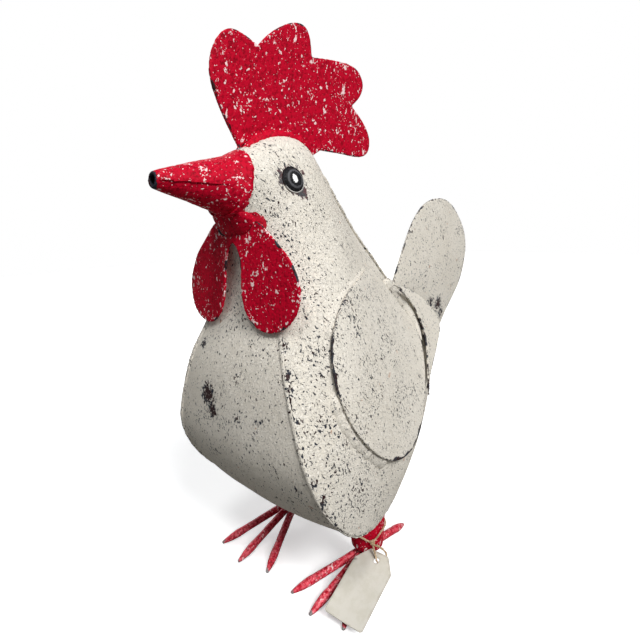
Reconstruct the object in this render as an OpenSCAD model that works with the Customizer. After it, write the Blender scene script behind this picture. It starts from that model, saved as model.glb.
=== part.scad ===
// Hollow sheet-metal cockerel, standing on two tube legs with rod toes, with a swing tag.
// +X is forward, +Y is the bird's left, +Z is up. The origin is on the ground between the feet.

/* [Body] */
// Thickness of the body sheet
sheet = 1.2; // [0.8:0.1:2]
// Widest distance between the two breast seams
breast_width = 134; // [110:1:150]
// How far the breast panel stands forward of its seams at mid width
breast_crown = 5; // [0:1:8]
// Gap left at each welded joint
weld_gap = 0.2; // [0.1:0.05:0.4]

/* [Head] */
// Length of the beak cone
beak_length = 58; // [56:1:60]
// Diameter of the beak cone at its rear end, before it is cut to the head
beak_base_d = 43.6; // [42:0.2:45]
// Diameter of the beak's open tip
beak_tip_d = 8; // [4:0.5:12]
// Thickness of the comb plate
comb_thickness = 2; // [1:0.1:3]
// Thickness of the wattle plate
wattle_thickness = 1.5; // [1:0.1:3]
// Backward sweep of each wattle lobe
wattle_sweep = 6.3; // [4:0.1:10]
// Lean of the wattle plate back to the throat
wattle_lean = 5.7; // [3:0.1:8]
// Diameter of the eye's dark dome
eye_d = 11; // [8:0.5:14]

/* [Wings and tail] */
// Thickness of the wing and tail plates
plate = 1.5; // [1:0.1:2.5]
// How far the wing's front edge stands off the body
wing_standoff = 2.6; // [1.5:0.1:4]
// Thickness of the tall tail feather at its middle
tail_thickness = 9; // [4:0.5:12]

/* [Legs] */
// Distance between the two legs
stance = 84; // [60:1:100]
// Outer diameter of a leg at its foot
leg_foot_d = 23.5; // [20:0.5:28]
// Outer diameter of a leg at the belly
leg_top_d = 27.5; // [24:0.5:30]
// Height of a leg's lower rim above the ground
leg_rim_z = 23.6; // [23.4:0.1:26]
// Diameter of the toe rod
toe_d = 6; // [5:0.2:7]
// Height of the toes where they meet under the leg
toe_root_z = 20; // [17:0.5:20]

/* [Tag] */
// Width of the tag card
tag_width = 29.5; // [20:0.5:34]
// Length of the tag card
tag_length = 51; // [40:1:56]
// Thickness of the tag card
tag_thickness = 0.8; // [0.6:0.1:1.2]
// Diameter of the hole in the tag
tag_hole_d = 4; // [3:0.5:5]
// Diameter of the twine
twine_d = 1.4; // [1:0.1:2]

/* [Hidden] */

$fn = 48;
cream = [0.87, 0.85, 0.78];
crimson = [0.72, 0.06, 0.12];
steel_dark = [0.12, 0.11, 0.11];
card = [0.90, 0.88, 0.80];
jute = [0.72, 0.56, 0.38];

// Body stations from the beak ring to the rear end, each with the ridge point [x, z],
// the seam point [x, y, z], and how far the section bulges near the ridge and near the seam
stations = [
    [[65, 302], [76, 4, 264], 25, 21, 0],
    [[41, 313.5], [66, 12, 248], 28, 16, 0.05],
    [[14, 313.5], [65, 24, 226], 30, 11, 0.05],
    [[-5, 298], [69, 34, 203], 30, 14, 0.15],
    [[-22, 278], [78, 46, 177], 31, 21, 0.25],
    [[-45, 252], [82, 56, 148], 30, 29, 0.33],
    [[-68, 231], [81, 64.5, 120], 29, 29, 0.33],
    [[-88, 212], [68, 67, 91], 31, 29, 0.33],
    [[-104, 198.5], [42, 65, 64], 31, 28, 0.33],
    [[-118, 189], [8, 60, 54.5], 29, 27, 0.33],
    [[-132, 180], [-30, 53, 62], 26, 24, 0.33],
    [[-146, 172], [-68, 40, 80], 22, 20, 0.33],
    [[-160, 164], [-108, 24, 104], 14, 14, 0.33],
    [[-173, 156], [-150, 8, 128], 6, 7, 0.33],
    [[-184, 146], [-183, 1.5, 144], 1, 1, 0.33]];
last_station = len(stations) - 1;
// Breast width that the seam points above are written for
drawn_width = 134;

// Smooth curve through the points p, at position s counted in points
function between(a, b, c, d, t) =
    0.5 * (2 * b + (c - a) * t + (2 * a - 5 * b + 4 * c - d) * t * t
        + (3 * b - 3 * c + d - a) * t * t * t);
function along(p, s) =
    let (n = len(p) - 1, i = max(0, min(floor(s), n - 1)))
    between(p[max(i - 1, 0)], p[i], p[i + 1], p[min(i + 2, n)], s - i);
function closed_along(p, s) =
    let (n = len(p), i = floor(s))
    between(p[(i + n - 1) % n], p[i % n], p[(i + 1) % n], p[(i + 2) % n], s - i);
function closed_outline(p, steps) =
    [for (k = [0:len(p) * steps - 1]) closed_along(p, k / steps)];
function unit(v) = v / norm(v);

ridge_points = [for (r = stations) [r[0][0], 0, r[0][1]]];
seam_points = [for (r = stations) [r[1][0], r[1][1] * breast_width / drawn_width, r[1][2]]];
ridge_bulges = [for (r = stations) r[2]];
seam_bulges = [for (r = stations) r[3]];
chord_shares = [for (r = stations) r[4]];

// Point on the left side's outer skin: v runs from the beak ring to the rear, u from ridge to seam
function skin(v, u) =
    let (a = along(ridge_points, v), d = along(seam_points, v),
        share = along(chord_shares, v),
        b = a + share * (d - a) + [0, along(ridge_bulges, v), 0],
        c = d + share * (a - d) + [0, along(seam_bulges, v), 0],
        w = 1 - u)
    w * w * w * a + 3 * w * w * u * b + 3 * w * u * u * c + u * u * u * d;
function skin_normal(v, u) =
    let (e = 0.01, v0 = max(v - e, 0), v1 = min(v + e, last_station),
        u0 = max(u - e, 0), u1 = min(u + e, 1))
    unit(cross(skin(v, u1) - skin(v, u0), skin(v1, u) - skin(v0, u)));
// The same skin moved out by h, and kept on its own side of the middle plane
function raised(v, u, h) =
    let (q = skin(v, u) + h * skin_normal(v, u))
    [q[0], max(q[1], weld_gap), q[2]];

// Closed solid between two grids of points with the same rows and columns
module between_grids(outer, inner) {
    rows = len(outer);
    cols = len(outer[0]);
    n = rows * cols;
    faces = [
        for (i = [0:rows - 2], j = [0:cols - 2]) let (a = i * cols + j, b = a + cols) each [
            [a, b + 1, a + 1], [a, b, b + 1],
            [n + a, n + a + 1, n + b + 1], [n + a, n + b + 1, n + b]],
        for (j = [0:cols - 2]) let (a = j, b = (rows - 1) * cols + j) each [
            [a, n + a + 1, n + a], [a, a + 1, n + a + 1],
            [b, n + b + 1, b + 1], [b, n + b, n + b + 1]],
        for (i = [0:rows - 2]) let (a = i * cols, b = a + cols - 1) each [
            [a, n + a + cols, a + cols], [a, n + a, n + a + cols],
            [b, n + b + cols, n + b], [b, b + cols, n + b + cols]]];
    points = [each [for (row = outer) each row], each [for (row = inner) each row]];
    polyhedron(points, faces, convexity = 6);
}

// Same points with Y reversed, row order turned round so that the faces still point out
function mirrored(grid) =
    [for (i = [len(grid) - 1:-1:0]) [for (q = grid[i]) [q[0], -q[1], q[2]]]];

side_rows = 42;
side_cols = 16;
function side_grid(h) =
    [for (i = [0:side_rows]) [for (j = [0:side_cols])
        raised(i * last_station / side_rows, j / side_cols, h)]];

module body_left_side()
    color(cream) between_grids(side_grid(0), side_grid(-sheet));
module body_right_side()
    color(cream) between_grids(mirrored(side_grid(0)), mirrored(side_grid(-sheet)));

// Breast panel: straight across near the seams and crowned in the middle
panel_rows = 42;
panel_cols = 10;
panel_inset = sheet + weld_gap + 0.4;
// Seam half width from which the panel has its full crown
full_crown_y = 60;
function panel_out(v) =
    let (e = 0.05, a = along(seam_points, max(v - e, 0)),
        b = along(seam_points, min(v + e, last_station)))
    unit([a[2] - b[2], 0, b[0] - a[0]]);
function panel_point(v, w, h) =
    let (s = along(seam_points, v), half = max(s[1] - panel_inset, 0.4),
        lift = breast_crown * min(s[1] / full_crown_y, 1) * (1 - w * w) + h)
    [s[0], w * half, s[2]] + lift * panel_out(v);
function panel_grid(h) =
    [for (i = [0:panel_rows]) [for (j = [0:panel_cols])
        panel_point(0.1 + i * (last_station - 0.6) / panel_rows, 1 - 2 * j / panel_cols, h)]];
module breast_panel()
    color(cream) between_grids(panel_grid(0), panel_grid(-sheet));

// Closed solid between two stacks of rings, each stack closed by its middle point
module leaf_solid(top, bottom, top_middle, bottom_middle) {
    m = len(top);
    n = len(top[0]);
    t = 0;
    b = m * n;
    tm = 2 * m * n;
    bm = tm + 1;
    faces = [
        for (k = [0:n - 1]) let (l = (k + 1) % n) each [
            [tm, t + l, t + k], [bm, b + k, b + l],
            for (i = [0:m - 2]) let (p = i * n, q = p + n) each [
                [t + p + k, t + p + l, t + q + l], [t + p + k, t + q + l, t + q + k],
                [b + p + k, b + q + l, b + p + l], [b + p + k, b + q + k, b + q + l]],
            let (p = (m - 1) * n) each [
                [t + p + k, t + p + l, b + p + l], [t + p + k, b + p + l, b + p + k]]]];
    points = [each [for (r = top) each r], each [for (r = bottom) each r],
        top_middle, bottom_middle];
    polyhedron(points, faces, convexity = 6);
}
function flip_y(ring) = [for (k = [len(ring) - 1:-1:0]) [ring[k][0], -ring[k][1], ring[k][2]]];
function flip_rings(rings) = [for (r = rings) flip_y(r)];

// Comb: four rounded lobes on a base that follows the crown of the head
function lobe(p) = [for (k = [0:(len(p) - 1) * 5 - 1]) along(p, k / 5)];
comb_lobes = [
    [[62.5, 304.6], [67, 312], [74, 325], [78.5, 338], [77.5, 349.5], [72, 360], [63.5, 366.5],
        [54, 366], [43, 362.5]],
    [[43, 362.5], [36, 369], [26, 376], [13, 382.5], [3, 383.5], [-2.5, 378], [-3.5, 366.5]],
    [[-3.5, 366.5], [-22, 369], [-43, 370.5], [-55, 367.5], [-60, 359], [-55, 350],
        [-46, 343]],
    [[-46, 343], [-60, 333], [-67, 323], [-65.5, 313], [-55, 308], [-30, 308.5],
        [-6, 309]]];
comb_base = [for (v = [2.7:-0.3:0]) let (q = along(ridge_points, v)) [q[0], q[2] + 0.5]];
module comb()
    color(crimson)
        translate([0, comb_thickness / 2, 0]) rotate([90, 0, 0])
            linear_extrude(comb_thickness)
                polygon([each [for (p = comb_lobes) each lobe(p)], each comb_base]);

// Beak: rolled cone, open at the tip and cut at a slant where it meets the head
beak_tip = [119, 0, 284];
beak_rise = 2.2;
ring_lean = atan2(stations[0][1][0] - stations[0][0][0], stations[0][0][1] - stations[0][1][2]);
module beak()
    color(crimson) difference() {
        translate(beak_tip) rotate([0, 90 - beak_rise, 0]) rotate_extrude()
            polygon([[beak_base_d / 2, -beak_length - 4], [beak_tip_d / 2, 0],
                [beak_tip_d / 2 - sheet, 0], [beak_base_d / 2 - sheet, -beak_length - 4]]);
        translate([stations[0][0][0] + 0.5, 0, stations[0][0][1]]) rotate([0, -ring_lean, 0])
            translate([-40, -40, -80]) cube([40, 80, 120]);
    }

// Wattles: one plate of two lobes, folded back along its middle, leaning back to the throat.
// The outline is given as distance from the middle and height
wattle_lobe = [[-0.5, 254.9], [8, 255], [12.2, 256], [15, 258.6], [17.5, 262.2],
    [23.4, 260], [33, 251.8], [42.8, 242.6], [49.7, 231.8], [51.7, 222.4],
    [49.2, 211.6], [41.8, 203.3], [32, 199.6], [23.5, 199.9], [17, 203.4], [12.5, 208],
    [9.5, 214], [7.9, 221], [7.4, 228.3], [7, 236], [5.5, 243], [3.2, 247.8], [-0.5, 250.4]];
wattle_x = 70.1;
wattle_z = 262;
module wattle_half()
    translate([wattle_x, 0, wattle_z]) rotate([0, -wattle_lean, 0])
        rotate([90, 0, 90 + wattle_sweep]) linear_extrude(wattle_thickness)
            translate([0, -wattle_z])
                polygon([each lobe(wattle_lobe), wattle_lobe[len(wattle_lobe) - 1]]);
module wattles()
    color(crimson) {
        wattle_half();
        mirror([0, 1, 0]) wattle_half();
    }

// Eye: dark dome in a raised round rim, square to the skin
eye_v = 1.48;
eye_u = 0.42;
eye_rim = 1.6;
module on_skin(v, u, h) {
    q = skin(v, u);
    d = skin_normal(v, u);
    translate(q + h * d) rotate([0, acos(d[2]), atan2(d[1], d[0])]) children();
}
module eye()
    on_skin(eye_v, eye_u, 0.2) rotate_extrude() polygon([
        [0, 0], [eye_d / 2 + eye_rim, 0], [eye_d / 2 + eye_rim, 1.0], [eye_d / 2 + 1, 1.9],
        [eye_d / 2, 1.5], for (a = [15:15:75]) [eye_d / 2 * cos(a), 1.3 + 2.4 * sin(a)],
        [0, 3.7]]);
module eye_left() color(steel_dark) eye();
module eye_right() color(steel_dark) mirror([0, 1, 0]) eye();

// Wing: a leaf that follows the skin and stands off it along its front and lower edge
wing_outline = [[5.5, 0.15], [4.7, 0.38], [4.35, 0.55], [4.4, 0.7], [4.9, 0.78], [5.8, 0.79],
    [7, 0.76], [8.3, 0.72], [9.2, 0.68], [9.55, 0.55], [9.7, 0.34], [9.5, 0.19], [8.6, 0.11],
    [7.2, 0.09]];
wing_middle = [7, 0.45];
wing_edge = closed_outline(wing_outline, 3);
wing_rings = 9;
function wing_gap(u, r) = 0.5 + (wing_standoff - 0.5) * r * min(max((u - 0.42) / 0.3, 0), 1);
function wing_ring(r, h) =
    [for (e = wing_edge) let (q = wing_middle + r * (e - wing_middle))
        raised(q[0], q[1], wing_gap(q[1], r) + h)];
function wing_stack(h) = [for (i = [1:wing_rings]) wing_ring(i / wing_rings, h)];
function wing_centre(h) = raised(wing_middle[0], wing_middle[1], 0.5 + h);
module wing_left()
    color(cream) leaf_solid(wing_stack(plate), wing_stack(0), wing_centre(plate), wing_centre(0));
module wing_right()
    color(cream) leaf_solid(flip_rings(wing_stack(plate)), flip_rings(wing_stack(0)),
        flip_y([wing_centre(plate)])[0], flip_y([wing_centre(0)])[0]);

// Tall tail feather: a thin pillow of two plates, standing on the ridge
tail_edge_points = [[-100, 203], [-109, 219], [-120, 236], [-132, 254], [-149, 269.5],
    [-169, 277.5], [-190, 279], [-211, 274.5], [-230, 261], [-244, 246], [-250, 229],
    [-247, 211], [-238, 193], [-226, 181], [-213, 170], [-201, 160], [-192, 150],
    [-184.6, 147]];
tail_outline = [each [for (k = [0:(len(tail_edge_points) - 1) * 2]) along(tail_edge_points, k / 2)],
    each [for (v = [13.6:-0.65:7.9]) let (q = along(ridge_points, v)) [q[0], q[2] + 0.6]]];
tail_middle = [-176, 213];
tail_rings = 6;
function tail_ring(r, side) =
    [for (e = tail_outline) let (q = tail_middle + r * (e - tail_middle))
        [q[0], side * (plate / 2 + (tail_thickness - plate) / 2 * (1 - r * r)), q[1]]];
function tail_stack(side) = [for (i = [1:tail_rings]) tail_ring(i / tail_rings, side)];
module tail_feather()
    color(cream) leaf_solid(tail_stack(-1), tail_stack(1),
        [tail_middle[0], -tail_thickness / 2, tail_middle[1]],
        [tail_middle[0], tail_thickness / 2, tail_middle[1]]);

// Coverts: two crescent plates a side, shingled behind the wing on one leaning plane
covert_origin = [-105, 10, 203];
covert_turn = [69.5, 0, 194.2];
outer_rear = [[-32, 5], [-9, 0], [10, -7], [26, -14.5], [42, -25.5], [53, -36], [58, -45],
    [52, -54], [37, -60], [14, -68.5], [-14, -77], [-40, -86]];
outer_front = [[-28, -79], [-12, -66], [-1, -48], [0, -28], [-4, -12], [-18, -1]];
inner_rear = [[-30, 2], [-10, -8], [5, -22], [10, -38], [7, -52], [-8, -66], [-26, -77],
    [-46, -90]];
inner_front = [[-32, -77], [-16, -63], [-3, -46], [-3, -28], [-9, -15], [-20, -6]];
module covert(rear, front, lift)
    translate(covert_origin) rotate(covert_turn) translate([0, 0, lift])
        linear_extrude(plate) polygon([each lobe(rear), each lobe([rear[len(rear) - 1],
            each front, rear[0]])]);
covert_gap = 0.4;
module covert_outer() covert(outer_rear, outer_front, covert_gap);
module covert_inner() covert(inner_rear, inner_front, covert_gap + plate + covert_gap);
module tail_covert_left_outer() color(cream) covert_outer();
module tail_covert_left_inner() color(cream) covert_inner();
module tail_covert_right_outer() color(cream) mirror([0, 1, 0]) covert_outer();
module tail_covert_right_inner() color(cream) mirror([0, 1, 0]) covert_inner();

// Leg: flared tube, closed by a plate at its lower rim that the toes are welded to
leg_top_z = 56.5;
leg_y = stance / 2;
module leg()
    rotate_extrude() polygon([
        [leg_foot_d / 2, leg_rim_z], [leg_top_d / 2, leg_top_z],
        [leg_top_d / 2 - sheet, leg_top_z], [leg_foot_d / 2 - sheet, leg_rim_z + 1.5],
        [0, leg_rim_z + 1.5], [0, leg_rim_z]]);
module leg_left() color(crimson) translate([0, leg_y, 0]) leg();
module leg_right() color(crimson) mirror([0, 1, 0]) translate([0, leg_y, 0]) leg();

// Toes: straight rods with blunt points, from under the leg down to the ground.
// Each is given by its tip [x, y] from the point where they meet, and the bearings that bound it
toe_tip_r = 1.2;
toes = [
    [[53.5, -27.9], [-100.5, -16.3]],
    [[58.9, -5.1], [-16.3, 7.4]],
    [[53.2, 19], [7.4, 102.5]],
    [[-59.8, -5.3], [102.5, 259.5]]];
// The right foot's toes meet a little behind and outside the leg's axis, at right_fan
right_fan = [-12, 1.5];
right_toes = [
    [[63.8, -29], [-98.2, -13.5]],
    [[70.6, -3.3], [-13.5, 8.8]],
    [[65.2, 24], [8.8, 104.2]],
    [[-47.8, -6.8], [104.2, 261.8]]];
function toe_reach(t) = norm(t[0]);
function toe_bearing(t) = atan2(t[0][1], t[0][0]);
function toe_fall(t) = atan2(toe_root_z - toe_tip_r, toe_reach(t));
module toe_frame(t)
    translate([0, 0, toe_root_z]) rotate([0, 90 + toe_fall(t), toe_bearing(t)]) children();
module toe_sector(t) {
    a = t[1][0];
    b = t[1][1];
    m = (a + b) / 2;
    far = 200;
    apart = weld_gap / 2;
    translate([apart * cos(m) / sin((b - a) / 2), apart * sin(m) / sin((b - a) / 2), -10])
        linear_extrude(60) polygon([[0, 0], far * [cos(a), sin(a)],
            far * 1.5 * [cos((a + m) / 2), sin((a + m) / 2)], far * 1.5 * [cos(m), sin(m)],
            far * 1.5 * [cos((b + m) / 2), sin((b + m) / 2)], far * [cos(b), sin(b)]]);
}
module toe(t) {
    long = norm([toe_reach(t), toe_root_z - toe_tip_r]);
    intersection() {
        toe_frame(t) rotate_extrude() polygon([
            [0, -3], [toe_d / 2, -3], [toe_d / 2, long - 20], [toe_d / 2 + 0.25, long - 14],
            [toe_d / 2 - 0.3, long - 7.5], [toe_tip_r + 0.6, long - 2.5], [toe_tip_r, long],
            for (a = [15:15:75]) [toe_tip_r * cos(a), long + toe_tip_r * sin(a)],
            [0, long + toe_tip_r]]);
        toe_sector(t);
    }
}
module left_toe(k) color(crimson) translate([0, leg_y, 0]) toe(toes[k]);
module right_toe(k)
    color(crimson) mirror([0, 1, 0]) translate([right_fan[0], leg_y + right_fan[1], 0])
        toe(right_toes[k]);
module toe_left_inner() left_toe(0);
module toe_left_middle() left_toe(1);
module toe_left_outer() left_toe(2);
module toe_left_back() left_toe(3);
module toe_right_inner() right_toe(0);
module toe_right_middle() right_toe(1);
module toe_right_outer() right_toe(2);
module toe_right_back() right_toe(3);

// Tube swept along a route, closed with flat ends or joined into a loop
tube_sides = 8;
function sweep_ring(route, i, r, loop) =
    let (n = len(route), before = loop ? (i + n - 1) % n : max(i - 1, 0),
        after = loop ? (i + 1) % n : min(i + 1, n - 1),
        d = unit(route[after] - route[before]),
        side = unit(cross(abs(d[2]) > 0.9 ? [1, 0, 0] : [0, 0, 1], d)), up = cross(d, side))
    [for (k = [0:tube_sides - 1]) route[i] + r * (cos(45 * k) * side + sin(45 * k) * up)];
module tube(route, r, loop = false) {
    n = len(route);
    rows = loop ? n - 1 : n - 2;
    faces = [
        for (i = [0:rows], k = [0:tube_sides - 1])
            let (l = (k + 1) % tube_sides, p = i * tube_sides, q = ((i + 1) % n) * tube_sides)
            each [[p + k, q + k, q + l], [p + k, q + l, p + l]],
        if (!loop) [for (k = [0:tube_sides - 1]) k],
        if (!loop) [for (k = [tube_sides - 1:-1:0]) (n - 1) * tube_sides + k]];
    polyhedron([for (i = [0:n - 1]) each sweep_ring(route, i, r, loop)], faces, convexity = 8);
}

// Twine: a loop round the left leg with a knot in front, and two strands down to the tag
knot_bearing = 51;
function loop_z(a) = 38.8 + 2.2 * sin(a - 30) - 5.5 * exp(-pow((a - knot_bearing) / 26, 2));
function leg_r(z) =
    (leg_foot_d + (leg_top_d - leg_foot_d) * (z - leg_rim_z) / (leg_top_z - leg_rim_z)) / 2;
function loop_point(a) =
    let (r = leg_r(loop_z(a)) + twine_d / 2 + 0.25) [r * cos(a), leg_y + r * sin(a), loop_z(a)];
knot_d = 2.2 * twine_d;
knot = loop_point(knot_bearing)
    + (knot_d - twine_d) / 2 * [cos(knot_bearing), sin(knot_bearing), 0];
module twine_loop()
    color(jute) {
        tube([for (k = [0:27]) loop_point(knot_bearing - 180 + k * 360 / 28)], twine_d / 2, true);
        translate(knot) sphere(d = knot_d);
    }

// The tag's frame has its origin at the hole, +X towards the lower edge and +Z out of its face
tag_hole_at = [13, 59.5, 25];
tag_turn = [0, 22.8, 3.45];
tag_top = 6;
tag_clip = [10.5, 7.5];
tag_corner = 2;
// The hole is punched a little off the card's middle line
tag_hole_off = 0.75;
// Points of the arc of radius r that rounds the corner b between a and c
function corner(a, b, c, r) =
    let (p = unit(a - b), q = unit(c - b), half = acos(p * q) / 2,
        m = b + r / sin(half) * unit(p + q), s = b + r / tan(half) * p - m,
        way = sign(p[0] * q[1] - p[1] * q[0]))
    [for (k = [0:4]) let (t = way * k / 4 * (2 * half - 180))
        m + [s[0] * cos(t) - s[1] * sin(t), s[0] * sin(t) + s[1] * cos(t)]];
function rounded(p, r) =
    let (n = len(p))
    [for (i = [0:n - 1]) each corner(p[(i + n - 1) % n], p[i], p[(i + 1) % n], r)];
module tag_frame() translate(tag_hole_at) rotate(tag_turn) children();
module swing_tag()
    color(card) tag_frame() translate([0, 0, -tag_thickness / 2]) difference() {
        linear_extrude(tag_thickness) translate([0, -tag_hole_off]) polygon(rounded([
            [-tag_top, -tag_width / 2 + tag_clip[1]], [-tag_top, tag_width / 2 - tag_clip[1]],
            [-tag_top + tag_clip[0], tag_width / 2], [tag_length - tag_top, tag_width / 2],
            [tag_length - tag_top, -tag_width / 2], [-tag_top + tag_clip[0], -tag_width / 2]],
            tag_corner));
        translate([0, 0, -1]) cylinder(h = tag_thickness + 2, d = tag_hole_d);
    }
// Route of the strands in the tag's frame: down its face, through the hole and up behind it
strand_route = [[-6.6, -5.4, 4.9], [-5, -4, 3.9], [-3, -2.2, 2.6], [-1.2, -0.8, 1.4], [-0.1, 0, 0.3],
    [0.3, 0.5, -0.9], [-0.5, 1.4, -1.9], [-2.4, 2.7, -2.2], [-4.6, 3.7, -2.1], [-6.6, 4, -1.5],
    [-7.8, 3.6, 0.1], [-8.2, 1.6, 2], [-8.2, -0.8, 3.6], [-8.1, -3.2, 4.9]];
function smooth_route(p, steps) = [for (k = [0:(len(p) - 1) * steps]) along(p, k / steps)];
module twine_strands()
    color(jute) tag_frame() tube(smooth_route(strand_route, 1), twine_d / 2);

body_left_side();
body_right_side();
breast_panel();
comb();
beak();
wattles();
eye_left();
eye_right();
wing_left();
wing_right();
tail_feather();
tail_covert_left_outer();
tail_covert_left_inner();
tail_covert_right_outer();
tail_covert_right_inner();
leg_left();
leg_right();
toe_left_inner();
toe_left_middle();
toe_left_outer();
toe_left_back();
toe_right_inner();
toe_right_middle();
toe_right_outer();
toe_right_back();
twine_loop();
twine_strands();
swing_tag();
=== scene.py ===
"""Hollow sheet-metal cockerel with a swing tag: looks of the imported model, in the row frame, in metres."""

import math

import bmesh
import bpy
import numpy as np
from mathutils import Matrix, Vector, kdtree, noise
from mathutils.bvhtree import BVHTree


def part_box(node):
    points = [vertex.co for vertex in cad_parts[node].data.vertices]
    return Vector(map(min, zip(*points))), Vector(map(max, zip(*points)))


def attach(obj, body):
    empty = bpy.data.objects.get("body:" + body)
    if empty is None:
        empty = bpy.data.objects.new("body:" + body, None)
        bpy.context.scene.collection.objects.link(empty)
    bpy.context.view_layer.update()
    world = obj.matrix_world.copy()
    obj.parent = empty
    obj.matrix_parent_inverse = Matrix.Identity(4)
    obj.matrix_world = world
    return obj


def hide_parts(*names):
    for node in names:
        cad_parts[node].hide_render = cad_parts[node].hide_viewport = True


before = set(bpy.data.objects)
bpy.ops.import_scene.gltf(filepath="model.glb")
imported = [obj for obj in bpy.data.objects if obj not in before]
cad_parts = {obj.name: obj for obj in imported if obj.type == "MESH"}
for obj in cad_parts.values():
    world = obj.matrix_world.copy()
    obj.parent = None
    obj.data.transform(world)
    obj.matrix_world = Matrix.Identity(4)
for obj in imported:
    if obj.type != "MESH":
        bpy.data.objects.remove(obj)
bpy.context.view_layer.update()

MM = 0.001
BODY, TAG = "cockerel", "tag"
SIDES = (("left", 1), ("right", -1))
SHARP = math.radians(50)  # edges that turn by more are shaded sharp
UP = Vector((0, 0, 1))


# ---------------------------------------------------------------- camera

def make_camera():
    """The camera stands in front of the bird, to its left, a little above its back."""
    data = bpy.data.cameras.new("camera")
    data.lens = 25.31
    camera = new_object("camera", data)
    yaw, pitch, roll = 3.8754, 0.2145, -0.0370
    ahead = Vector((math.cos(pitch) * math.cos(yaw), math.cos(pitch) * math.sin(yaw), -math.sin(pitch)))
    level = ahead.cross(UP).normalized()
    over = level.cross(ahead)
    across = math.cos(roll) * level + math.sin(roll) * over
    upward = math.cos(roll) * over - math.sin(roll) * level
    place = Matrix.Translation((0.2393, 0.2183, 0.2604))
    camera.matrix_world = place @ Matrix((across, upward, -ahead)).transposed().to_4x4()
    bpy.context.scene.camera = camera


# ---------------------------------------------------------------- mesh helpers

def new_object(name, data):
    """An object in the scene with this mesh, camera or light."""
    made = bpy.data.objects.new(name, data)
    bpy.context.collection.objects.link(made)
    return made


def array_of(mesh, what="co"):
    """Every vertex's place or normal as rows of three."""
    values = np.empty(len(mesh.vertices) * 3, np.float32)
    mesh.vertices.foreach_get(what, values)
    return values.reshape(-1, 3).astype(float)


def set_places(mesh, places):
    mesh.vertices.foreach_set("co", np.asarray(places, np.float32).ravel())
    mesh.update()


def set_field(mesh, name, values):
    """A number at each vertex, which a material can read by name."""
    field = mesh.attributes.new(name, "FLOAT", "POINT")
    field.data.foreach_set("value", np.asarray(values, np.float32))


def opened(*meshes):
    """Meshes together, with their fields, open for editing."""
    bm = bmesh.new()
    for mesh in meshes:
        bm.from_mesh(mesh)
    return bm


def welded(node):
    """A CAD node's mesh with its split corners joined."""
    bm = opened(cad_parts[node].data)
    bmesh.ops.remove_doubles(bm, verts=bm.verts, dist=2e-6)
    return bm


def as_mesh(bm, name):
    mesh = bpy.data.meshes.new(name)
    bm.to_mesh(mesh)
    bm.free()
    return mesh


def modified(mesh, *modifiers):
    """The mesh after these modifiers, each a kind and its settings."""
    work = new_object("work", mesh)
    for kind, settings in modifiers:
        modifier = work.modifiers.new(kind.lower(), kind)
        for key, value in settings.items():
            setattr(modifier, key, value)
    graph = bpy.context.evaluated_depsgraph_get()
    result = bpy.data.meshes.new_from_object(work.evaluated_get(graph))
    bpy.data.objects.remove(work)
    return result


def ramp(low, high, x):
    """0 below low, 1 above high, smooth in between; low may be above high."""
    t = np.clip((x - low) / (high - low), 0, 1)
    return t * t * (3 - 2 * t)


def lumps(places, size, seed):
    """Smooth noise from -1 to 1 with features of this size."""
    shift = Vector((7.3, 3.1, 5.7)) * seed
    return np.array([noise.noise(Vector(p) / size + shift) for p in places])


def roughen(mesh, *layers):
    """Raises and lowers the surface by half of each layer's depth, in lumps of its size, in millimetres."""
    places, normals = array_of(mesh), array_of(mesh, "normal")
    for size, depth, seed in layers:
        places += normals * (depth * MM * 0.5 * lumps(places, size * MM, seed))[:, None]
    set_places(mesh, places)
    mesh.shade_smooth()
    mesh.set_sharp_from_angle(angle=SHARP)


def lengths(rows):
    return np.linalg.norm(rows, axis=1)


def unit(rows):
    """The rows as directions of length one."""
    return rows / lengths(rows)[:, None]


def tree_of(points):
    """A tree that finds the nearest of these points."""
    tree = kdtree.KDTree(len(points))
    for i, q in enumerate(points):
        tree.insert(q, i)
    tree.balance()
    return tree


def distance_to(places, targets):
    """Distance from each place to the nearest of the targets."""
    tree = tree_of(targets)
    return np.array([tree.find(p)[2] for p in places])


def resampled(path, spacing):
    """The same route with points this far apart."""
    path = np.array([list(p) for p in path])
    along = np.concatenate([[0], np.cumsum(lengths(np.diff(path, axis=0)))])
    count = max(2, int(round(along[-1] / spacing)) + 1)
    wanted = np.linspace(0, along[-1], count)
    return np.stack([np.interp(wanted, along, path[:, k]) for k in range(3)], axis=1)


def sharp_points(bm, angle=45, spacing=0.5 * MM):
    """Points along every sharp edge."""
    found = []
    for edge in bm.edges:
        if edge.calc_face_angle(0) > math.radians(angle):
            a, b = (v.co for v in edge.verts)
            steps = max(1, int((b - a).length / spacing))
            found += [a.lerp(b, i / steps) for i in range(steps + 1)]
    return found


def edge_walk(node, start, heading):
    """Points along the sharp edge that leaves the corner nearest start towards heading."""
    bm = welded(node)
    sharp = {}
    for edge in bm.edges:
        if edge.calc_face_angle(0) > math.radians(45):
            for v in edge.verts:
                sharp.setdefault(v, []).append(edge.other_vert(v))
    here = min(sharp, key=lambda v: (v.co - Vector(start)).length)
    way = Vector(heading).normalized()
    route, seen = [here.co.copy()], {here}
    while True:
        ahead = [((v.co - here.co).normalized() @ way, v.index, v) for v in sharp[here] if v not in seen]
        if not ahead or max(ahead)[0] < (0.6 if len(route) > 1 else 0):
            break
        here_next = max(ahead)[2]
        way = (here_next.co - here.co).normalized()
        here = here_next
        seen.add(here)
        route.append(here.co.copy())
    bm.free()
    return route


def surface_of(*nodes):
    """A tree that finds points on the surfaces of some CAD nodes."""
    places, faces = [], []
    for node in nodes:
        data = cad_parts[node].data
        first = len(places)
        places += [v.co.copy() for v in data.vertices]
        faces += [tuple(first + k for k in p.vertices) for p in data.polygons]
    return BVHTree.FromPolygons(places, faces)


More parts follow.
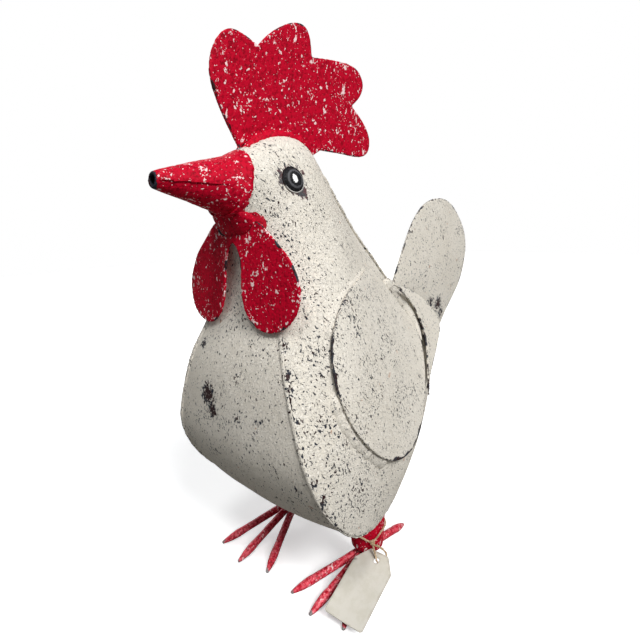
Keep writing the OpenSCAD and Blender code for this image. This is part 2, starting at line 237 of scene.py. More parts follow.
def softened(rows, reach=4, closed=True):
    """Each row averaged with its neighbours."""
    padded = np.pad(rows, ((reach, reach), (0, 0)), mode="wrap" if closed else "edge")
    return np.mean([padded[k:k + len(rows)] for k in range(2 * reach + 1)], axis=0)


def tube(name, rings, closed=False):
    """A mesh through rings of points, capped at both ends unless it closes on itself."""
    n, sides = rings.shape[:2]
    faces = []
    for i in range(n if closed else n - 1):
        a, b = i * sides, (i + 1) % n * sides
        for k in range(sides):
            m = (k + 1) % sides
            faces.append((a + k, a + m, b + m, b + k))
    if not closed:
        faces.append(tuple(range(sides))[::-1])
        faces.append(tuple((n - 1) * sides + k for k in range(sides)))
    mesh = bpy.data.meshes.new(name)
    mesh.from_pydata(rings.reshape(-1, 3).tolist(), [], faces)
    bm = opened(mesh)
    bmesh.ops.recalc_face_normals(bm, faces=bm.faces)
    bm.to_mesh(mesh)
    bm.free()
    return mesh


def sweep(name, path, normals, wide, high, sides, closed=False):
    """A tube of oval section along a path; wide and high are its half sizes at each point."""
    path, normals = np.asarray(path, float), np.asarray(normals, float)
    if closed:
        forward = unit(np.roll(path, -1, axis=0) - np.roll(path, 1, axis=0))
    else:
        forward = unit(np.gradient(path, axis=0))
    normals = unit(normals - (normals * forward).sum(1)[:, None] * forward)
    across = np.cross(forward, normals)
    turn = np.linspace(0, 2 * math.pi, sides, endpoint=False)
    wide, high = np.broadcast_to(wide, len(path)), np.broadcast_to(high, len(path))
    rings = (path[:, None] + (wide[:, None] * np.cos(turn))[:, :, None] * across[:, None]
             + (high[:, None] * np.sin(turn))[:, :, None] * normals[:, None])
    mesh = tube(name, rings, closed)
    mesh.shade_smooth()
    return mesh


def add_piece(name, mesh, body, paint, *nodes):
    """Puts a mesh in the scene as a piece that rides on a body and stands for these nodes."""
    slot, material = paint
    mesh.materials.clear()
    mesh.materials.append(material)
    piece = new_object(name, mesh)
    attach(piece, body)
    if nodes:
        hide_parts(*nodes)
    return piece


def painted(node, mesh, paint):
    """The piece that stands for one of the cockerel's nodes."""
    add_piece(f"{node}_painted", mesh, BODY, paint, node)


# ---------------------------------------------------------------- materials

class Paint:
    """Builds one material, a node at a time, and keeps the name of its slot."""

    def __init__(self, name, slot=None):
        self.slot = slot or name
        self.material = bpy.data.materials.new(name)
        self.material.use_nodes = True
        self.tree = self.material.node_tree
        self.surface = self.tree.nodes["Principled BSDF"]
        self.place = self.add("ShaderNodeTexCoord").outputs["Object"]

    def put(self, value, socket):
        if isinstance(value, bpy.types.NodeSocket):
            self.tree.links.new(value, socket)
        else:
            socket.default_value = value

    def add(self, kind, inputs=None, **settings):
        made = self.tree.nodes.new(kind)
        for key, value in settings.items():
            setattr(made, key, value)
        for key, value in (inputs or {}).items():
            self.put(value, made.inputs[key])
        return made

    def math(self, operation, *values):
        made = self.add("ShaderNodeMath", operation=operation)
        for i, value in enumerate(values):
            self.put(value, made.inputs[i])
        return made.outputs[0]

    def plus(self, *values):
        total = values[0]
        for value in values[1:]:
            total = self.math("ADD", total, value)
        return total

    def times(self, a, b):
        return self.math("MULTIPLY", a, b)

    def most(self, a, b):
        return self.math("MAXIMUM", a, b)

    def field(self, name):
        return self.add("ShaderNodeAttribute", attribute_name=name).outputs["Fac"]

    def stretched(self, x, y, z, lean=0.0):
        """Places on axes leant about Y, so that a pattern is drawn out by these factors along them."""
        return self.add("ShaderNodeMapping", {"Vector": self.place, "Scale": (x, y, z),
                        "Rotation": (0.0, lean, 0.0)}, vector_type="TEXTURE").outputs[0]

    def swing(self, value, reach, middle=0.5):
        """A noise's departure from its middle, this many times over."""
        return self.times(self.plus(value, -middle), reach)

    def noise(self, size, detail=2.0, rough=0.5, warp=0.0, at=None):
        """Noise from about 0.3 to 0.7 with features of this size, in metres."""
        return self.add("ShaderNodeTexNoise", {"Vector": at or self.place, "Scale": 1 / size,
                        "Detail": detail, "Roughness": rough, "Distortion": warp}).outputs["Fac"]

    def step(self, value, low, high):
        """0 where value is below low, 1 above high."""
        return self.add("ShaderNodeMapRange", {"Value": value, "From Min": low, "From Max": high},
                        interpolation_type="SMOOTHSTEP").outputs["Result"]

    def mix(self, share, a, b):
        made = self.add("ShaderNodeMix", data_type="RGBA")
        self.put(share, made.inputs[0])
        self.put(a, made.inputs[6])
        self.put(b, made.inputs[7])
        return made.outputs[2]

    def blend(self, share, a, b):
        made = self.add("ShaderNodeMix", data_type="FLOAT")
        self.put(share, made.inputs[0])
        self.put(a, made.inputs[2])
        self.put(b, made.inputs[3])
        return made.outputs[0]

    def finish(self, colour, roughness, height, depth, specular=0.5):
        """Joins the pattern to the surface, its relief this deep in metres; gives slot and material."""
        bump = self.add("ShaderNodeBump", {"Height": height, "Distance": depth})
        self.put(colour, self.surface.inputs["Base Color"])
        self.put(roughness, self.surface.inputs["Roughness"])
        self.put(bump.outputs[0], self.surface.inputs["Normal"])
        self.surface.inputs["Specular IOR Level"].default_value = specular
        return self.slot, self.material


CREAM = (0.80, 0.755, 0.675, 1)
CREAM_DEEP = (0.60, 0.54, 0.43, 1)
STAIN = (0.36, 0.35, 0.34, 1)
CHARCOAL = (0.030, 0.034, 0.046, 1)
BROWN = (0.030, 0.010, 0.010, 1)
RUST = (0.42, 0.16, 0.05, 1)
CRIMSON = (0.50, 0.001, 0.020, 1)
CRIMSON_DEEP = (0.27, 0.0005, 0.010, 1)
PINK = (0.66, 0.13, 0.17, 1)
CHALK = (0.84, 0.62, 0.61, 1)


def cream_look(p):
    """Crackled cream paint, chipped to dark metal: its colour, roughness and relief."""
    wrinkle = p.noise(1.9 * MM, 1.5, 0.5, 1.2, p.stretched(1, 1, 1.4, 0.4))
    ridges = p.step(p.math("ABSOLUTE", p.plus(wrinkle, -0.5)), 0.0, 0.09)
    grain = p.noise(0.7 * MM, 2.0, 0.6)
    patches = p.noise(16 * MM, 3.0, 0.6)
    broad = p.noise(55 * MM, 2.0, 0.5)
    worn = p.most(p.field("worn"), p.times(p.step(patches, 0.5, 0.66), 0.8))
    flecks = p.noise(1.5 * MM, 1.8, 0.5, 0.4, p.stretched(1, 1, 1.6, 0.5))
    dust = p.noise(0.85 * MM, 1.0, 0.5, 0.4, p.stretched(1, 1, 1.6, 0.5))
    edge = p.step(p.field("edge"), 2.6, 0.2)
    limit = p.plus(0.672, p.times(worn, -0.072), p.times(edge, -0.07),
                   p.times(p.step(broad, 0.45, 0.6), -0.015))
    over = p.math("SUBTRACT", flecks, limit)
    dust_over = p.math("SUBTRACT", dust, p.plus(limit, 0.035))
    chips = p.most(p.step(over, 0.0, 0.018), p.times(p.step(dust_over, 0.0, 0.02), 0.8))
    scuff = p.plus(p.field("scuff"), p.swing(flecks, 2.2), p.swing(wrinkle, 0.9))
    chips = p.most(chips, p.step(scuff, 0.52, 0.66))
    halo = p.most(p.step(over, -0.05, 0.01), p.step(scuff, 0.2, 0.6))
    film = p.mix(p.times(ridges, 0.42), CREAM, CREAM_DEEP)
    film = p.mix(p.step(broad, 0.35, 0.65), film, p.mix(0.5, film, CREAM))
    film = p.mix(p.times(halo, 0.3), film, STAIN)
    film = p.mix(p.times(p.step(p.noise(7 * MM, 2.0, 0.6), 0.70, 0.76), 0.55), film, RUST)
    metal = p.mix(p.most(p.step(p.noise(5 * MM, 1.0), 0.52, 0.6), p.step(p.field("scuff"), 0.6, 0.9)),
                  CHARCOAL, BROWN)
    colour = p.mix(chips, film, metal)
    rough = p.blend(chips, 0.72, 0.5)
    relief = p.plus(p.times(ridges, -0.55), p.times(grain, 0.5), p.times(chips, -0.8))
    return colour, rough, relief


def red_look(p):
    """Stippled crimson paint, rubbed back to chalky primer on its high points."""
    stipple = p.noise(1.7 * MM, 2.0, 0.55, 0.5, p.stretched(1, 1, 1.3, -0.4))
    grain = p.noise(0.55 * MM, 1.0)
    patches = p.noise(13 * MM, 2.0, 0.6)
    edge = p.step(p.field("edge"), 6.0, 0.8)
    rubbed = p.plus(p.times(p.step(patches, 0.46, 0.66), 0.075), p.times(edge, 0.035))
    big = p.math("SUBTRACT", p.noise(2.7 * MM, 2.2, 0.5, 0.3, p.stretched(1, 1, 1.3, -0.4)),
                 p.math("SUBTRACT", 0.68, rubbed))
    small = p.math("SUBTRACT", p.noise(1.3 * MM, 1.5, 0.5), p.math("SUBTRACT", 0.715, rubbed))
    flecks = p.most(p.step(big, 0.0, 0.02), p.times(p.step(small, 0.0, 0.03), 0.85))
    halo = p.most(p.step(big, -0.035, 0.005), p.step(small, -0.03, 0.01))
    film = p.mix(p.step(stipple, 0.30, 0.55), CRIMSON_DEEP, CRIMSON)
    film = p.mix(p.times(halo, 0.4), film, PINK)
    colour = p.mix(flecks, film, CHALK)
    relief = p.plus(p.times(stipple, 0.9), p.times(grain, 0.25), p.times(flecks, 0.25))
    rough = p.blend(flecks, 0.6, 0.8)
    return colour, rough, relief


def bare_edge(p, look, reach):
    """The same look with the sheet's cut edge worn to dark metal, out to about reach millimetres."""
    colour, rough, relief = look
    ragged = p.plus(p.field("rim"), p.swing(p.noise(2.2 * MM, 3.0, 0.6), 3.0),
                    p.swing(p.noise(11 * MM, 1.0), 6.0, 0.45))
    bare = p.step(ragged, reach, reach - 0.25)
    metal = p.mix(p.step(p.noise(3 * MM, 2.0), 0.45, 0.6), CHARCOAL, BROWN)
    return (p.mix(bare, colour, metal), p.blend(bare, rough, 0.5),
            p.math("SUBTRACT", relief, p.times(bare, 0.5)))


def cream_paint():
    p = Paint("cream_paint")
    return p.finish(*bare_edge(p, cream_look(p), 0.85), depth=0.42 * MM, specular=0.3)


def red_paint():
    p = Paint("red_paint")
    return p.finish(*bare_edge(p, red_look(p), 0.55), depth=0.5 * MM, specular=0.08)


def head_paint():
    """Cream paint with the comb's and the beak's crimson lapped over its edge, and a smeared eye."""
    p = Paint("cream_paint_lapped", "cream_paint")
    cream = cream_look(p)
    red = red_look(p)
    wavy = p.plus(p.field("red"), p.swing(p.noise(4.5 * MM, 3.0, 0.6), 5.5))
    lap = p.step(wavy, -0.12, 0.12)
    streaks = p.noise(1.9 * MM, 3.0, 0.65, 0.3, p.stretched(1, 1, 2.6, 0.5))
    smear = p.step(p.plus(p.field("eye"), p.swing(streaks, 24)), 9.0, 8.2)
    smear_colour = p.mix(p.step(p.noise(3 * MM, 2.0), 0.42, 0.58), CHARCOAL, (0.07, 0.012, 0.02, 1))
    colour = p.mix(p.times(smear, 0.92), cream[0], smear_colour)
    colour = p.mix(lap, colour, red[0])
    look = colour, p.blend(lap, cream[1], red[1]), p.plus(p.blend(lap, cream[2], red[2]), p.times(lap, 0.9))
    return p.finish(*bare_edge(p, look, 0.75), depth=0.42 * MM, specular=0.25)


def toe_paint():
    """Crimson paint mottled with bright pink, partly rubbed and partly painted sheen, and worn to grey metal
    at the toe's tip.
    """
    p = Paint("red_paint_toes", "red_paint")
    colour, rough, relief = red_look(p)
    # Bright pink mottling: partly rubbed paint, partly painted sheen.
    rubbed = p.step(p.noise(2.1 * MM, 4.0, 0.65), 0.42, 0.62)
    colour = p.mix(p.times(rubbed, 0.6), colour, (1.0, 0.17, 0.22, 1))
    worn = p.step(p.plus(p.field("tip"), p.swing(p.noise(2.4 * MM, 3.0, 0.6), 9)), 1.9, 0.7)
    steel = p.mix(p.noise(1.6 * MM, 2.0), (0.10, 0.09, 0.09, 1), (0.40, 0.36, 0.35, 1))
    colour = p.mix(worn, colour, steel)
    return p.finish(colour, p.blend(worn, p.times(rough, 0.6), 0.45), relief, depth=0.3 * MM, specular=0.4)


def eye_paint():
    """A black dome with a grey ring and a white dab, in a rubbed rim."""
    p = Paint("eye_enamel")
    radius = p.field("radius")
    brushed = p.noise(0.9 * MM, 2.0, 0.6)
    black = p.mix(p.step(brushed, 0.45, 0.7), (0.010, 0.010, 0.011, 1), (0.035, 0.035, 0.038, 1))
    ring = p.times(p.step(p.math("ABSOLUTE", p.plus(radius, -5.0, p.swing(brushed, 1.4))), 0.8, 0.3), 0.5)
    colour = p.mix(ring, black, (0.16, 0.16, 0.17, 1))
    dab = p.step(p.plus(p.field("dab"), p.swing(brushed, 0.6)), -0.05, 0.05)
    colour = p.mix(dab, colour, (0.88, 0.88, 0.86, 1))
    lower = p.step(p.plus(p.field("low"), p.swing(p.noise(4 * MM, 2.0), 6)), -0.5, 1.5)
    rubbed = p.times(p.times(p.step(radius, 7.25, 7.4), p.step(radius, 8.1, 7.95)), lower)
    colour = p.mix(p.step(radius, 7.9, 8.0), colour, BROWN)
    colour = p.mix(rubbed, colour, (0.50, 0.48, 0.45, 1))
    rough = p.blend(p.step(radius, 6.9, 7.3), 0.5, 0.6)
    return p.finish(colour, rough, brushed, depth=0.12 * MM, specular=0.1)


def card_paint():
    """Plain pulp board: fine fibres, faint mottling, a soiled rim."""
    p = Paint("card")
    fibres = p.noise(0.5 * MM, 3.0, 0.7, 0.6, p.stretched(1, 0.35, 1))
    mottle = p.noise(6 * MM, 3.0, 0.6)
    colour = p.mix(p.step(mottle, 0.35, 0.65), (0.60, 0.57, 0.49, 1), (0.65, 0.62, 0.55, 1))
    colour = p.mix(p.times(p.step(fibres, 0.55, 0.72), 0.35), colour, (0.48, 0.44, 0.36, 1))
    soil = p.times(p.step(p.plus(p.field("rim"), p.swing(mottle, 3)), 1.3, 0.2), 0.35)
    colour = p.mix(soil, colour, (0.38, 0.34, 0.28, 1))
    return p.finish(colour, p.blend(fibres, 0.8, 0.95), fibres, depth=0.05 * MM, specular=0.25)


def twine_paint():
    """Jute: pale and dark fibres drawn out along each ply."""
    p = Paint("twine")
    along = p.add("ShaderNodeCombineXYZ", {"X": p.field("along"), "Y": p.field("around")}).outputs[0]
    fibres = p.noise(0.9, 3.0, 0.65, 0.5, along)
    tone = p.noise(3 * MM, 2.0)
    colour = p.mix(p.step(fibres, 0.35, 0.62), (0.22, 0.13, 0.065, 1), (0.62, 0.46, 0.29, 1))
    colour = p.mix(p.times(p.step(tone, 0.4, 0.65), 0.4), colour, (0.72, 0.58, 0.42, 1))
    return p.finish(colour, 0.9, fibres, depth=0.12 * MM, specular=0.2)


def floor_paint():
    """A pale floor; it throws back less light than it shows, which keeps the belly in shade."""
    p = Paint("floor")
    mottle = p.noise(0.25, 3.0)
    pale = p.mix(mottle, (0.90, 0.90, 0.90, 1), (0.93, 0.93, 0.93, 1))
    seen = p.add("ShaderNodeLightPath").outputs["Is Camera Ray"]
    p.put(p.mix(seen, (0.16, 0.155, 0.145, 1), pale), p.surface.inputs["Base Color"])
    p.put(p.times(seen, 0.42), p.surface.inputs["Emission Strength"])
    p.surface.inputs["Roughness"].default_value = 0.9
    return p.material


# ---------------------------------------------------------------- twine

LEG_LOW, LEG_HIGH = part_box("leg_left")
LEG_AXIS = Vector((0, (LEG_LOW.y + LEG_HIGH.y) / 2, 0))
LEG_RIM_Z, LEG_TOP_Z = LEG_LOW.z, LEG_HIGH.z
LEG_TOP_R = (LEG_HIGH.y - LEG_LOW.y) / 2
LEG_FOOT_R = LEG_TOP_R - 2 * MM
TWINE_R = 0.7 * MM
KNOT_BEARING = math.radians(51)
HOLE = Vector((13, 59.5, 25)) * MM
# The tag's axes at its hole: x down the card, z out of its face; the strands' route is in them, in mm
TAG_FRAME = (Matrix.Translation(HOLE) @ Matrix.Rotation(math.radians(3.45), 4, "Z")
             @ Matrix.Rotation(math.radians(22.8), 4, "Y"))
STRAND_ROUTE = [(-6.6, -5.4, 4.9), (-5, -4, 3.9), (-3, -2.2, 2.6), (-1.2, -0.8, 1.4), (-0.1, 0, 0.3),
                (0.3, 0.5, -0.9), (-0.5, 1.4, -1.9), (-2.4, 2.7, -2.2), (-4.6, 3.7, -2.1),
                (-6.6, 4, -1.5), (-7.8, 3.6, 0.1), (-8.2, 1.6, 2), (-8.2, -0.8, 3.6), (-8.1, -3.2, 4.9)]


def leg_radius(z):
    return LEG_FOOT_R + (LEG_TOP_R - LEG_FOOT_R) * (z - LEG_RIM_Z) / (LEG_TOP_Z - LEG_RIM_Z)


def loop_point(bearing):
    """The loop dips to its knot and rises to the leg's sides."""
    height, tilt, dip, dip_width = 38.8, 2.2, 5.5, 26
    off_knot = math.degrees(bearing - KNOT_BEARING) / dip_width
    z = (height + tilt * math.sin(bearing - math.radians(30)) - dip * math.exp(-off_knot ** 2)) * MM
    r = leg_radius(z) + TWINE_R + 0.25 * MM
    return LEG_AXIS + Vector((r * math.cos(bearing), r * math.sin(bearing), z))


def loop_route():
    """Once round the leg, from the knot and back to it."""
    bearings = [KNOT_BEARING + 2 * math.pi * k / 72 for k in range(73)]
    return [loop_point(b if b < math.pi + KNOT_BEARING else b - 2 * math.pi) for b in bearings]


def curved(points, steps):
    """A smooth route through the points."""
    p = [Vector(q) for q in points]
    p = [2 * p[0] - p[1]] + p + [2 * p[-1] - p[-2]]
    route = []
    for i in range(1, len(p) - 2):
        for k in range(steps):
            t = k / steps
            a, b, c, d = p[i - 1], p[i], p[i + 1], p[i + 2]
            route.append(0.5 * (2 * b + (c - a) * t + (2 * a - 5 * b + 4 * c - d) * t * t
                                + (3 * b - 3 * c + d - a) * t ** 3))
    return route + [p[-2]]


def twine_piece(name, route, body, paint, *nodes, lay=3.2 * MM):
    """Two plies laid round each other along a route, one turn in each lay."""
    spacing, plies, sides = 0.3 * MM, 2, 8
    ply_r, ply_out, along_step, around_step = 0.40 * MM, 0.36 * MM, 0.12, 1.4
    path = resampled(route, spacing)
    forward = unit(np.gradient(path, axis=0))
    side = unit(np.cross(forward, [0.31, 0.22, 0.92]))
    over = np.cross(forward, side)
    along = np.arange(len(path)) * spacing
    meshes = []
    for k in range(plies):
        turn = 2 * math.pi * (along / lay + k / plies)
        out = np.cos(turn)[:, None] * side + np.sin(turn)[:, None] * over
        fat = ply_r * (1 + 0.12 * lumps(path, 1.5 * MM, k + 3))
        mesh = sweep(name, path + ply_out * out, out, fat, fat, sides)
        ring = np.arange(len(path) * sides)
        set_field(mesh, "along", (ring // sides) * along_step + k * 40)
        set_field(mesh, "around", np.abs(ring % sides - sides / 2) * around_step)
        meshes.append(mesh)
    mesh = as_mesh(opened(*meshes), name)
    mesh.shade_smooth()
    return add_piece(name, mesh, body, paint, *nodes)


def twine(paint):
    """The tied loop, the strands through the tag, the knot and its short end."""
    knot = loop_point(KNOT_BEARING)
    outward = Vector((math.cos(KNOT_BEARING), math.sin(KNOT_BEARING), 0))
    sideways = outward.cross(UP)
    centre = knot + 0.84 * MM * outward
    loop = loop_route()
    piece = twine_piece("twine_loop_laid", loop, BODY, paint, "twine_loop")
    turns = [2 * math.pi * k / 60 for k in range(60)]
    trefoil = [centre + 0.52 * MM * ((math.sin(t) + 2 * math.sin(2 * t)) * sideways
                                     + (math.cos(t) - 2 * math.cos(2 * t)) * UP
                                     - 1.1 * math.sin(3 * t) * outward) for t in turns]
    tied = twine_piece("twine_knot", trefoil + trefoil[:2], BODY, paint, lay=2.6 * MM)
    short = [(0.4, 0, -0.6), (1.6, -2.6, -2.0), (2.2, -5.2, -3.4), (2.0, -7.6, -5.2)]
    end = [centre + MM * (a * outward + b * sideways + c * UP) for a, b, c in short]
    twine_piece("twine_end", curved(end, 8), BODY, paint)
    strands = [TAG_FRAME @ (Vector(p) * MM) for p in curved(STRAND_ROUTE, 5)]
    hung = twine_piece("twine_strands_laid", strands, TAG, paint, "twine_strands")


# ---------------------------------------------------------------- body skins

CHIN = (76 * MM, 4 * MM, 264 * MM)
HEART = Vector((-20 * MM, 0, 150 * MM))
# Where a pattern is worn: shares of the node's box in x, y and z, a radius in millimetres, and a strength
SIDE_WEAR = [
    (0.93, 0.30, 0.85, 13, 1.0), (0.92, 0.31, 0.81, 12, 1.0), (0.89, 0.39, 0.76, 16, 1.0),
    (0.87, 0.50, 0.70, 18, 0.8), (0.90, 0.52, 0.65, 18, 1.0), (0.89, 0.59, 0.62, 16, 1.0),
    (0.80, 0.41, 0.82, 13, 0.9), (0.92, 0.73, 0.52, 18, 0.9), (0.93, 0.83, 0.45, 18, 0.8),
    (0.94, 0.91, 0.36, 20, 1.0), (0.90, 0.99, 0.27, 22, 1.0), (0.85, 1.00, 0.18, 22, 1.0),
    (0.74, 0.95, 0.09, 18, 1.0), (0.92, 0.98, 0.13, 20, 0.7), (0.86, 0.28, 0.93, 12, 0.6)]
SEAM_CHIPS = [
    (0.96, 0.58, 0.53, 6, 0.8), (0.98, 0.67, 0.47, 8, 0.95), (0.985, 0.70, 0.44, 6, 0.9),
    (0.99, 0.80, 0.38, 5, 0.7), (0.99, 0.93, 0.30, 5, 0.7), (0.99, 0.95, 0.25, 6, 0.85),
    (0.97, 0.97, 0.20, 7, 0.85), (0.94, 0.98, 0.15, 5, 0.7), (0.69, 0.90, 0.10, 5, 0.6)]
WING_WEAR = [
    (0.78, 0.88, 0.44, 24, 1.0), (0.76, 0.79, 0.60, 18, 0.9), (0.52, 0.60, 0.63, 20, 0.9),
    (0.82, 0.63, 0.90, 20, 1.0), (0.47, 0.37, 0.82, 18, 0.6), (0.92, 0.98, 0.34, 14, 0.9),
    (0.54, 0.79, 0.31, 22, 0.9)]
PANEL_SCUFFS = [
    (0.99, 0.34, 0.49, 12, 1.25), (1.0, 0.38, 0.45, 9, 1.1), (0.96, 0.25, 0.63, 7, 0.9),
    (1.0, 0.58, 0.45, 8, 0.62), (0.99, 0.72, 0.46, 6, 0.75), (1.0, 0.69, 0.42, 6, 0.5),
    (0.97, 0.90, 0.29, 5, 0.8), (0.95, 0.81, 0.22, 9, 0.4), (0.94, 0.51, 0.72, 12, 0.35)]
# The tail feather's foot, darkened on both of its faces: worn, and painted shade where the coverts shade it
TAIL_WEAR_AND_SHADE = [(x, y, z, radius, strength) for x, z, radius, strength in (
    (0.45, 0.20, 13, 1.1), (0.55, 0.23, 11, 0.9), (0.40, 0.13, 11, 0.9)) for y in (0.87, 0.13)]


def spots(mesh, node, places, falloff=1.0, sign=1):
    """The strongest of some soft round spots at each vertex, mirrored where sign is -1."""
    low, high = (np.array(corner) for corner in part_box(node))
    at = array_of(mesh)
    total = np.zeros(len(at))
    for x, y, z, radius, strength in places:
        share = np.array([x, y if sign > 0 else 1 - y, z])
        gap = lengths(at - (low + share * (high - low))) / (radius * MM)
        total = np.maximum(total, strength * np.clip(1 - gap ** falloff, 0, 1))
    return total


def plain_fields(mesh, **given):
    """Sets every field that a paint reads, at its plain value where none is given."""
    usual = {"worn": 0.0, "scuff": 0.0, "edge": 99.0, "rim": 99.0, "red": -99.0, "eye": 99.0}
    for name, value in {**usual, **given}.items():
        set_field(mesh, name, np.broadcast_to(value, len(mesh.vertices)))


def finer_shell(node, outside):
    """A faceted shell as quads, subdivided smooth, and once more on the side that shows."""
    bm = welded(node)
    bmesh.ops.join_triangles(bm, faces=bm.faces, angle_face_threshold=math.radians(30),
                             angle_shape_threshold=math.radians(70))
    crease = bm.edges.layers.float.new("crease_edge")
    for edge in bm.edges:
        if edge.calc_face_angle(0) > math.radians(45):
            edge[crease] = 1.0
    mesh = modified(as_mesh(bm, node), ("SUBSURF", {"levels": 2, "boundary_smooth": "ALL"}))
    bm = opened(mesh)
    shown = [f for f in bm.faces if outside(f)]
    edges = list({e for f in shown for e in f.edges})
    bmesh.ops.subdivide_edges(bm, edges=edges, cuts=1, use_grid_fill=True)
    return as_mesh(bm, node)


def faces_out(face):
    return face.normal @ (face.calc_center_median() - HEART) > 0


def rim_gap(mesh, node, angle=45):
    """Millimetres from each vertex to the nearest sharp edge of its CAD node."""
    return distance_to(array_of(mesh), sharp_points(welded(node), angle)) / MM


def throat_lap(at):
    """How many millimetres each place lies inside the crimson round the chin and the wattles' top edge."""
    tops = [p for p in sharp_points(welded("wattles")) if p.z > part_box("wattles")[1].z - 9 * MM]
    lap = 5.0 - distance_to(at, tops) / MM
    chin = 15.5 - lengths(at - np.array(CHIN) * [1, 0, 1]) / MM
    return np.where(at[:, 2] > 250 * MM, np.maximum(lap, chin), -99)


def smear_gap(at, eye_centre):
    """Millimetres from the eye's centre, less where its paint is smeared: forward, back and down."""
    off = (at - eye_centre) / MM
    gap = lengths(off)
    bearing = np.arctan2(off[:, 2], off[:, 0])
    for way, reach, narrow in ((150, 0.8, 4), (25, 2.0, 3), (-122, 3.4, 8)):
        gap = gap - reach * np.clip(np.cos(bearing - math.radians(way)), 0, 1) ** narrow
    return gap


def body_side(side, sign, seam, ring, paint):
    """One painted side skin, lapped with crimson at the comb, the beak and the throat."""
    node = f"body_{side}_side"
    mesh = finer_shell(node, faces_out)
    roughen(mesh, (30, 0.5, 1 + sign), (6, 0.16, 5 + sign), (2.6, 0.14, 9 + sign))
    at = array_of(mesh)
    folded = at * [1, sign, 1]
    seam_gap, ring_gap = (distance_to(folded, resampled(edge, MM)) / MM for edge in (seam, ring))
    comb_lap = np.minimum(5.4 - np.abs(at[:, 1]) / MM, np.minimum(at[:, 0] / MM + 3, 59 - at[:, 0] / MM))
    comb_lap = np.where(at[:, 2] > 285 * MM, comb_lap, -99)
    plain_fields(mesh, worn=spots(mesh, node, SIDE_WEAR, 1.5, sign),
                 scuff=spots(mesh, node, SEAM_CHIPS, 1.0, sign), edge=seam_gap, rim=seam_gap + 0.3,
                 red=np.maximum(np.maximum(comb_lap, 1.0 - ring_gap), throat_lap(at)),
                 eye=smear_gap(at, np.array(eye_frame(f"eye_{side}", sign)[0])))
    painted(node, mesh, paint)


def breast(paint):
    node = "breast_panel"
    mesh = finer_shell(node, faces_out)
    roughen(mesh, (26, 0.7, 3), (6, 0.16, 4), (2.6, 0.12, 11))
    at, rim = array_of(mesh), rim_gap(mesh, node)
    plain_fields(mesh, scuff=spots(mesh, node, PANEL_SCUFFS), edge=rim + 0.6, rim=rim + 0.4,
                 red=np.maximum(throat_lap(at), at[:, 2] / MM - 256))
    painted(node, mesh, paint)


def wing(node, sign, paint):
    """The wing plate, with a stretch of its edge painted dark metal: worn bare, and painted shade of the
    open gap under it.
    """
    mesh = finer_shell(node, lambda f: f.normal.y * sign > 0)
    roughen(mesh, (24, 0.5, 21 + sign), (6, 0.15, 23 + sign), (2.6, 0.14, 25 + sign))
    rim = rim_gap(mesh, node)
    # Half way up the front and along the bottom the edge is painted dark metal: worn bare, and painted shade
    # of the gap under it.
    plain_fields(mesh, worn=spots(mesh, node, WING_WEAR, 1.5, sign), edge=rim + 0.4,
                 rim=rim + 1.6 - 2.6 * bare_and_shade_share(node, array_of(mesh)))
    painted(node, mesh, paint)


def shares(node, at):
    """Places as shares of a node's box in x, y and z."""
    low, high = (np.array(corner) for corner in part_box(node))
    return (at - low) / (high - low)


def bare_and_shade_share(node, at):
    """1 where the wing's edge is painted dark metal, worn bare and painted shade of the open gap under it:
    half way up the front and along the bottom.
    """
    share = shares(node, at)
    front = ramp(0.50, 0.53, share[:, 2]) * ramp(0.79, 0.76, share[:, 2]) * ramp(0.80, 0.85, share[:, 0])
    bottom = ramp(0.13, 0.09, share[:, 2]) * ramp(0.76, 0.70, share[:, 0])
    return np.maximum(front, bottom)


def outline(node, plane_normal):
    """The outer outline of a plate, as points all round its middle, and the middle."""
    count = 240
    at = np.array([list(p) for p in sharp_points(welded(node), 45, 0.3 * MM)])
    middle = at.mean(0)
    normal = Vector(plane_normal).normalized()
    first = normal.orthogonal().normalized()
    across = (at - middle) @ np.array(first)
    over = (at - middle) @ np.array(normal.cross(first))
    bins = ((np.arctan2(over, across) + math.pi) / (2 * math.pi) * count).astype(int) % count
    reach = np.hypot(over, across)
    inside = [np.flatnonzero(bins == k) for k in range(count)]
    return np.array([at[found[np.argmax(reach[found])]] for found in inside if len(found)]), middle


def tail(paint):
    node = "tail_feather"
    mesh = finer_shell(node, lambda f: True)
    roughen(mesh, (24, 0.5, 31), (6, 0.15, 32), (2.6, 0.14, 33))
    rim = rim_gap(mesh, node, 30)
    # Dark chips and stain at the foot: wear, and painted shade of the coverts.
    plain_fields(mesh, scuff=spots(mesh, node, TAIL_WEAR_AND_SHADE), edge=rim + 0.3, rim=rim + 0.35)
    painted(node, mesh, paint)


# ---------------------------------------------------------------- plates, tubes, rods, eyes and tag

def remeshed(node, voxel):
    """A CAD node as an even mesh with slightly rounded edges."""
    return modified(as_mesh(welded(node), node),
                    ("REMESH", {"mode": "VOXEL", "voxel_size": voxel}),
                    ("SMOOTH", {"factor": 0.5, "iterations": 3}))


def painted_plate(node, voxel, paint, seed, coarse=0.45, reach=0.0):
    """A plate or a tube; reach in millimetres makes the bare strip along its edges narrower."""
    mesh = remeshed(node, voxel)
    roughen(mesh, (20, coarse, seed), (4.5, 0.2, seed + 1), (2, 0.16, seed + 2))
    rim = rim_gap(mesh, node)
    plain_fields(mesh, edge=rim, rim=rim + reach)
    painted(node, mesh, paint)


